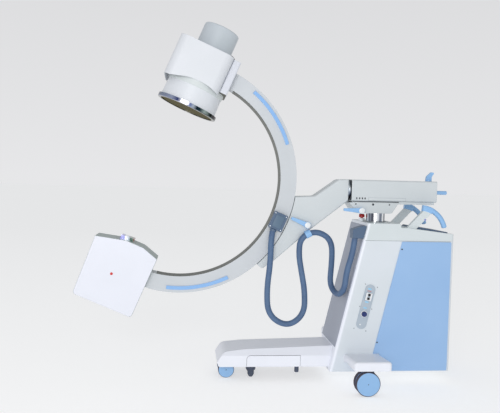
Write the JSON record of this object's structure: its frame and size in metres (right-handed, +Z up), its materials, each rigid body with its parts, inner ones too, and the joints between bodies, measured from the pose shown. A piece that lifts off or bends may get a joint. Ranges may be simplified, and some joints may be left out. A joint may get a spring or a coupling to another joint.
{
  "type": "mobile c-arm x-ray",
  "caption": "Mobile c-arm x-ray: lift column on casters, sliding and turning arm, round C with image intensifier above and tube head below, hose to the column.",
  "frame": {"origin": "middle of the bounding box on the floor", "axes": "+X from the C to the column, +Y away from the viewer across the machine, +Z up"},
  "size_m": [2.0634, 0.792, 1.93],
  "materials": {
    "white_paint": "semi-gloss paint",
    "painted_casting": "semi-gloss paint on cast aluminium",
    "track_paint": "satin paint on extruded aluminium",
    "white_moulding": "fine-grained moulding",
    "blue_paint": "semi-gloss paint",
    "grey_panel": "satin paint",
    "blue_grip": "moulded",
    "slate_box": "moulded",
    "hose": "ribbed",
    "chrome": "polished",
    "input_face": "dark window",
    "inner_steel": "machined",
    "roller_plastic": "turned",
    "stop_red": "moulded",
    "black_key": "moulded",
    "foot_rubber": "moulded",
    "lead_jacket": "moulded",
    "caster_fork": "moulded",
    "caster_wheel": "rubber tread on a blue disc"
  },
  "bodies": {
    "base": {"column_shell": "white_paint", "top_cover": "white_moulding", "front_panel": "grey_panel", "column_panels": "blue_paint", "power_unit": "inner_steel", "rear_console": "slate_box", "key_plate": "white_moulding", "hose_socket": "slate_box", "front_leg": "white_paint", "leg_frame": "inner_steel", "leg_side_covers": "white_moulding", "parking_feet": "foot_rubber", "leg_stops": "foot_rubber", "outriggers": "white_paint", "lift_guide_tube": "inner_steel", "lift_drive": "inner_steel", "handle_posts": "white_moulding", "handle_grips": "blue_grip"},
    "lift": {"lift_ram": "chrome"},
    "head": {"lift_head": "painted_casting"},
    "arm": {"arm_housing": "painted_casting", "turning_bearing": "inner_steel", "slide_rails": "inner_steel"},
    "forearm": {"forearm_casting": "painted_casting", "turning_shaft": "chrome", "roller_trucks": "inner_steel", "guide_rollers": "roller_plastic", "hose_clip": "blue_grip", "hose": "hose"},
    "c_arm": {"c_track": "track_paint", "c_bumper_strips": "blue_grip", "intensifier_drum": "painted_casting", "intensifier_sleeve": "painted_casting", "intensifier_ring": "chrome", "input_window": "input_face", "intensifier_rear_cap": "white_moulding", "intensifier_mount": "painted_casting", "end_plates": "painted_casting", "tube_head_rim": "white_paint", "tube_head_covers": "white_paint", "tube_insert": "inner_steel", "collimator": "chrome", "cable_box": "white_moulding", "cap_cables": "lead_jacket"},
    "orbit_lever": {"orbit_brake_lever": "blue_grip"},
    "pan_lever": {"pan_brake_lever": "blue_grip"},
    "lock_rod": {"rear_lock_rod": "blue_grip"},
    "slide_lever": {"slide_lock_lever": "blue_grip"},
    "stop_button": {"stop_button": "stop_red"},
    "lower_key": {"lower_key": "black_key"},
    "raise_key": {"raise_key": "black_key"},
    "key_switch": {"key_switch": "black_key"},
    "rear_caster_near_fork": {"rear_caster_near_yoke": "caster_fork"},
    "rear_caster_near_wheel": {"rear_caster_near_wheels": "caster_wheel"},
    "rear_caster_far_fork": {"rear_caster_far_yoke": "caster_fork"},
    "rear_caster_far_wheel": {"rear_caster_far_wheels": "caster_wheel"},
    "front_caster_near_fork": {"front_caster_near_yoke": "caster_fork"},
    "front_caster_near_wheel": {"front_caster_near_wheels": "caster_wheel"},
    "front_caster_far_fork": {"front_caster_far_yoke": "caster_fork"},
    "front_caster_far_wheel": {"front_caster_far_wheels": "caster_wheel"}
  },
  "joints": [
    {"name": "lift_travel", "type": "slide", "parent": "base", "child": "lift", "axis": [0, 0, 1], "range_m": [0, 0.4], "deforming": ["hose"]},
    {"name": "pan", "type": "hinge", "parent": "lift", "child": "head", "pos_m": [0.6194, 0, 0.93], "axis": [0, 0, 1], "range_deg": [-12.5, 12.5], "deforming": ["hose"]},
    {"name": "arm_reach", "type": "slide", "parent": "head", "child": "arm", "axis": [-1, 0, 0], "range_m": [0, 0.2], "deforming": ["hose"]},
    {"name": "arm_roll", "type": "hinge", "parent": "arm", "child": "forearm", "pos_m": [0.4454, 0, 1.0434], "axis": [1, 0, 0], "range_deg": [-180, 180], "deforming": ["hose"]},
    {"name": "c_orbit", "type": "hinge", "parent": "forearm", "child": "c_arm", "pos_m": [-0.4761, 0, 1.0945], "axis": [0, 1, 0], "range_deg": [-50, 65], "deforming": ["hose"]},
    {"name": "orbit_lever_turn", "type": "hinge", "parent": "forearm", "child": "orbit_lever", "pos_m": [0.2187, -0.06, 0.8457], "axis": [0, 1, 0], "range_deg": [0, 45]},
    {"name": "pan_lever_turn", "type": "hinge", "parent": "head", "child": "pan_lever", "pos_m": [0.5154, -0.08, 0.932], "axis": [0, 1, 0], "range_deg": [0, 35]},
    {"name": "lock_rod_turn", "type": "hinge", "parent": "arm", "child": "lock_rod", "pos_m": [0.96, 0, 1.0394], "axis": [1, 0, 0], "range_deg": [0, 90]},
    {"name": "slide_lever_turn", "type": "hinge", "parent": "arm", "child": "slide_lever", "pos_m": [0.9234, 0, 1.11], "axis": [0, 0, 1], "range_deg": [-45, 45]},
    {"name": "stop_press", "type": "slide", "parent": "base", "child": "stop_button", "axis": [0, 0, -1], "range_m": [0, 0.004], "stiffness_N_per_m": 1500},
    {"name": "lower_key_press", "type": "slide", "parent": "base", "child": "lower_key", "axis": [0, 1, 0], "range_m": [0, 0.002], "stiffness_N_per_m": 1000},
    {"name": "raise_key_press", "type": "slide", "parent": "base", "child": "raise_key", "axis": [0, 1, 0], "range_m": [0, 0.002], "stiffness_N_per_m": 1000},
    {"name": "key_switch_turn", "type": "hinge", "parent": "base", "child": "key_switch", "pos_m": [0.5218, -0.18, 0.3777], "axis": [0, 1, 0], "range_deg": [0, 90]},
    {"name": "rear_caster_near_swivel", "type": "hinge", "parent": "base", "child": "rear_caster_near_fork", "pos_m": [0.5174, -0.366, 0.14], "axis": [0, 0, 1], "continuous": true},
    {"name": "rear_caster_near_roll", "type": "hinge", "parent": "rear_caster_near_fork", "child": "rear_caster_near_wheel", "pos_m": [0.4914, -0.366, 0.064], "axis": [0, 1, 0], "continuous": true},
    {"name": "rear_caster_far_swivel", "type": "hinge", "parent": "base", "child": "rear_caster_far_fork", "pos_m": [0.5174, 0.366, 0.14], "axis": [0, 0, 1], "continuous": true},
    {"name": "rear_caster_far_roll", "type": "hinge", "parent": "rear_caster_far_fork", "child": "rear_caster_far_wheel", "pos_m": [0.4914, 0.366, 0.064], "axis": [0, 1, 0], "continuous": true},
    {"name": "front_caster_near_swivel", "type": "hinge", "parent": "base", "child": "front_caster_near_fork", "pos_m": [-0.1926, -0.05, 0.1], "axis": [0, 0, 1], "continuous": true},
    {"name": "front_caster_near_roll", "type": "hinge", "parent": "front_caster_near_fork", "child": "front_caster_near_wheel", "pos_m": [-0.2096, -0.05, 0.044], "axis": [0, 1, 0], "continuous": true},
    {"name": "front_caster_far_swivel", "type": "hinge", "parent": "base", "child": "front_caster_far_fork", "pos_m": [-0.1926, 0.05, 0.1], "axis": [0, 0, 1], "continuous": true},
    {"name": "front_caster_far_roll", "type": "hinge", "parent": "front_caster_far_fork", "child": "front_caster_far_wheel", "pos_m": [-0.2096, 0.05, 0.044], "axis": [0, 1, 0], "continuous": true}
  ]
}
